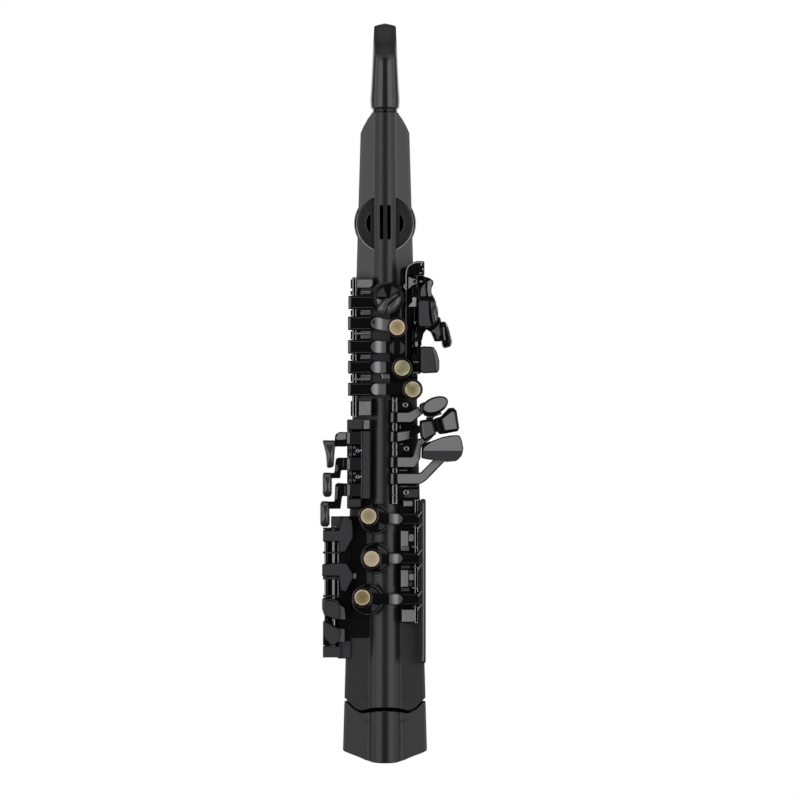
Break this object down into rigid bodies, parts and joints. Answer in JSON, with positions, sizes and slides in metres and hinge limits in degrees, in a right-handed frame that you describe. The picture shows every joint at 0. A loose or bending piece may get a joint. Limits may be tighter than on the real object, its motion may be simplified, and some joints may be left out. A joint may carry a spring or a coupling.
{
  "type": "digital wind controller",
  "caption": "Straight electronic saxophone with spring-loaded keys on hinge rods, a speaker in its tapered body and a removable mouthpiece.",
  "frame": {"origin": "centre of the strap ring on the rear, which the instrument hangs on", "axes": "+Z towards the mouthpiece, -Y out of the key side, +X to the right of the key side"},
  "size_m": [0.1311, 0.0688, 0.68],
  "materials": {
    "shell": "satin",
    "bed": "satin",
    "keys": "gloss",
    "rod": "blackened",
    "pearl": "pearlescent",
    "mouthpiece": "gloss",
    "rubber": "matte",
    "grille": "matte",
    "board": "matte",
    "battery": "satin",
    "magnet": "matte"
  },
  "bodies": {
    "body": {"front_shell": "shell", "rear_shell": "shell", "bottom_cap": "shell", "neck_tenon": "rod", "speaker_grille": "grille", "speaker_driver": "magnet", "main_board": "board", "battery_pack": "battery", "upper_stack_rod": "rod", "palm_key_rod": "rod", "pinky_key_rod": "rod", "side_key_rod": "rod", "lower_stack_rod": "rod", "corner_key_rod": "rod", "upper_key_bed": "bed", "palm_key_base": "bed", "pinky_key_base": "bed", "side_key_base": "bed", "lower_key_base": "bed", "key_guard": "bed", "corner_key_bracket": "bed", "thumb_rest": "bed", "strap_ring": "rod"},
    "front_f_key": {"front_f_key": "keys"},
    "b_key": {"b_key": "keys", "b_pearl": "pearl"},
    "bis_key": {"bis_key": "keys"},
    "a_key": {"a_key": "keys", "a_pearl": "pearl"},
    "g_key": {"g_key": "keys", "g_pearl": "pearl"},
    "palm_d_key": {"palm_d_key": "keys"},
    "palm_e_flat_key": {"palm_e_flat_key": "keys"},
    "palm_f_key": {"palm_f_key": "keys"},
    "g_sharp_key": {"g_sharp_key": "keys"},
    "c_sharp_key": {"c_sharp_key": "keys"},
    "low_b_key": {"low_b_key": "keys"},
    "low_b_flat_key": {"low_b_flat_key": "keys"},
    "side_e_key": {"side_e_key": "keys"},
    "side_c_key": {"side_c_key": "keys"},
    "side_b_flat_key": {"side_b_flat_key": "keys"},
    "f_key": {"f_key": "keys", "f_pearl": "pearl"},
    "e_key": {"e_key": "keys", "e_pearl": "pearl"},
    "d_key": {"d_key": "keys", "d_pearl": "pearl"},
    "high_f_sharp_key": {"high_f_sharp_key": "keys"},
    "alternate_f_sharp_key": {"alternate_f_sharp_key": "keys"},
    "e_flat_key": {"e_flat_key": "keys"},
    "low_c_key": {"low_c_key": "keys"},
    "mouthpiece": {"mouthpiece": "mouthpiece", "bite_patch": "rubber"},
    "battery_cover": {"battery_cover": "shell"},
    "power_button": {"power_button": "keys"},
    "plus_button": {"plus_button": "keys"},
    "minus_button": {"minus_button": "keys"},
    "analog_lever": {"analog_lever": "rubber"},
    "thumb_hook": {"thumb_hook": "bed"},
    "octave_key": {"octave_key": "keys"}
  },
  "joints": [
    {"name": "front_f_key_hinge", "type": "hinge", "parent": "body", "child": "front_f_key", "pos_m": [-0.02789, -0.04192, 0.08186], "axis": [0, 0, 1], "range_deg": [0, 4.5], "stiffness_Nm_per_rad": 0.3},
    {"name": "b_key_hinge", "type": "hinge", "parent": "body", "child": "b_key", "pos_m": [-0.02789, -0.04192, 0.06286], "axis": [0, 0, 1], "range_deg": [0, 4.5], "stiffness_Nm_per_rad": 0.3},
    {"name": "bis_key_hinge", "type": "hinge", "parent": "body", "child": "bis_key", "pos_m": [-0.02789, -0.04192, 0.04123], "axis": [0, 0, 1], "range_deg": [0, 4.5], "stiffness_Nm_per_rad": 0.3},
    {"name": "a_key_hinge", "type": "hinge", "parent": "body", "child": "a_key", "pos_m": [-0.02789, -0.04192, 0.02264], "axis": [0, 0, 1], "range_deg": [0, 4.5], "stiffness_Nm_per_rad": 0.3},
    {"name": "g_key_hinge", "type": "hinge", "parent": "body", "child": "g_key", "pos_m": [-0.02789, -0.04192, 0.00244], "axis": [0, 0, 1], "range_deg": [0, 4.5], "stiffness_Nm_per_rad": 0.3},
    {"name": "palm_d_key_hinge", "type": "hinge", "parent": "body", "child": "palm_d_key", "pos_m": [0.02798, -0.04192, 0.09175], "axis": [0, 0, 1], "range_deg": [0, 8], "stiffness_Nm_per_rad": 0.3},
    {"name": "palm_e_flat_key_hinge", "type": "hinge", "parent": "body", "child": "palm_e_flat_key", "pos_m": [0.02798, -0.04192, 0.02876], "axis": [0, 0, 1], "range_deg": [0, 8], "stiffness_Nm_per_rad": 0.3},
    {"name": "palm_f_key_hinge", "type": "hinge", "parent": "body", "child": "palm_f_key", "pos_m": [0.02798, -0.04192, 0.05181], "axis": [0, 0, 1], "range_deg": [0, 7], "stiffness_Nm_per_rad": 0.3},
    {"name": "g_sharp_key_hinge", "type": "hinge", "parent": "body", "child": "g_sharp_key", "pos_m": [0.00911, -0.04292, -0.02333], "axis": [0, 0, 1], "range_deg": [0, 4], "stiffness_Nm_per_rad": 0.3},
    {"name": "c_sharp_key_hinge", "type": "hinge", "parent": "body", "child": "c_sharp_key", "pos_m": [0.00911, -0.04292, -0.04091], "axis": [0, 0, 1], "range_deg": [0, 4], "stiffness_Nm_per_rad": 0.3},
    {"name": "low_b_key_hinge", "type": "hinge", "parent": "body", "child": "low_b_key", "pos_m": [0.00911, -0.04292, -0.06433], "axis": [0, 0, 1], "range_deg": [0, 4], "stiffness_Nm_per_rad": 0.3},
    {"name": "low_b_flat_key_hinge", "type": "hinge", "parent": "body", "child": "low_b_flat_key", "pos_m": [0.00911, -0.04292, -0.07947], "axis": [0, 0, 1], "range_deg": [0, 4], "stiffness_Nm_per_rad": 0.3},
    {"name": "side_e_key_hinge", "type": "hinge", "parent": "body", "child": "side_e_key", "pos_m": [-0.03175, -0.03892, -0.04233], "axis": [0, 0, -1], "range_deg": [0, 8], "stiffness_Nm_per_rad": 0.3},
    {"name": "side_c_key_hinge", "type": "hinge", "parent": "body", "child": "side_c_key", "pos_m": [-0.03175, -0.03892, -0.06599], "axis": [0, 0, -1], "range_deg": [0, 8], "stiffness_Nm_per_rad": 0.3},
    {"name": "side_b_flat_key_hinge", "type": "hinge", "parent": "body", "child": "side_b_flat_key", "pos_m": [-0.03175, -0.03892, -0.08982], "axis": [0, 0, -1], "range_deg": [0, 8], "stiffness_Nm_per_rad": 0.3},
    {"name": "f_key_hinge", "type": "hinge", "parent": "body", "child": "f_key", "pos_m": [0.02899, -0.04192, -0.11632], "axis": [0, 0, -1], "range_deg": [0, 4.5], "stiffness_Nm_per_rad": 0.3},
    {"name": "e_key_hinge", "type": "hinge", "parent": "body", "child": "e_key", "pos_m": [0.02899, -0.04192, -0.15254], "axis": [0, 0, -1], "range_deg": [0, 4.5], "stiffness_Nm_per_rad": 0.3},
    {"name": "d_key_hinge", "type": "hinge", "parent": "body", "child": "d_key", "pos_m": [0.02899, -0.04192, -0.18976], "axis": [0, 0, -1], "range_deg": [0, 4.5], "stiffness_Nm_per_rad": 0.3},
    {"name": "high_f_sharp_key_hinge", "type": "hinge", "parent": "body", "child": "high_f_sharp_key", "pos_m": [-0.05384, -0.03492, -0.13192], "axis": [0, 0, 1], "range_deg": [0, 7], "stiffness_Nm_per_rad": 0.3},
    {"name": "alternate_f_sharp_key_hinge", "type": "hinge", "parent": "body", "child": "alternate_f_sharp_key", "pos_m": [-0.05384, -0.03492, -0.1628], "axis": [0, 0, 1], "range_deg": [0, 7], "stiffness_Nm_per_rad": 0.3},
    {"name": "e_flat_key_hinge", "type": "hinge", "parent": "body", "child": "e_flat_key", "pos_m": [-0.05384, -0.03492, -0.194], "axis": [0, 0, 1], "range_deg": [0, 7], "stiffness_Nm_per_rad": 0.3},
    {"name": "low_c_key_hinge", "type": "hinge", "parent": "body", "child": "low_c_key", "pos_m": [-0.05384, -0.03492, -0.22124], "axis": [0, 0, 1], "range_deg": [0, 7], "stiffness_Nm_per_rad": 0.3},
    {"name": "octave_key_hinge", "type": "hinge", "parent": "body", "child": "octave_key", "pos_m": [0, -0.00216, 0.12792], "axis": [-1, 0, 0], "range_deg": [0, 5.5], "stiffness_Nm_per_rad": 0.3},
    {"name": "analog_lever_hinge", "type": "hinge", "parent": "body", "child": "analog_lever", "pos_m": [0, -0.01213, -0.08191], "axis": [1, 0, 0], "range_deg": [-15, 15], "stiffness_Nm_per_rad": 0.05},
    {"name": "mouthpiece_slide", "type": "slide", "parent": "body", "child": "mouthpiece", "axis": [0, 0, 1], "range_m": [0, 0.022]},
    {"name": "battery_cover_slide", "type": "slide", "parent": "body", "child": "battery_cover", "axis": [0, 1, 0], "range_m": [0, 0.02]},
    {"name": "power_button_slide", "type": "slide", "parent": "body", "child": "power_button", "axis": [0, -1, 0], "range_m": [0, 0.001], "stiffness_N_per_m": 300},
    {"name": "plus_button_slide", "type": "slide", "parent": "body", "child": "plus_button", "axis": [0, -1, 0], "range_m": [0, 0.001], "stiffness_N_per_m": 300},
    {"name": "minus_button_slide", "type": "slide", "parent": "body", "child": "minus_button", "axis": [0, -1, 0], "range_m": [0, 0.001], "stiffness_N_per_m": 300},
    {"name": "thumb_hook_slide", "type": "slide", "parent": "body", "child": "thumb_hook", "axis": [0, 0, 1], "range_m": [-0.004, 0.004]}
  ]
}
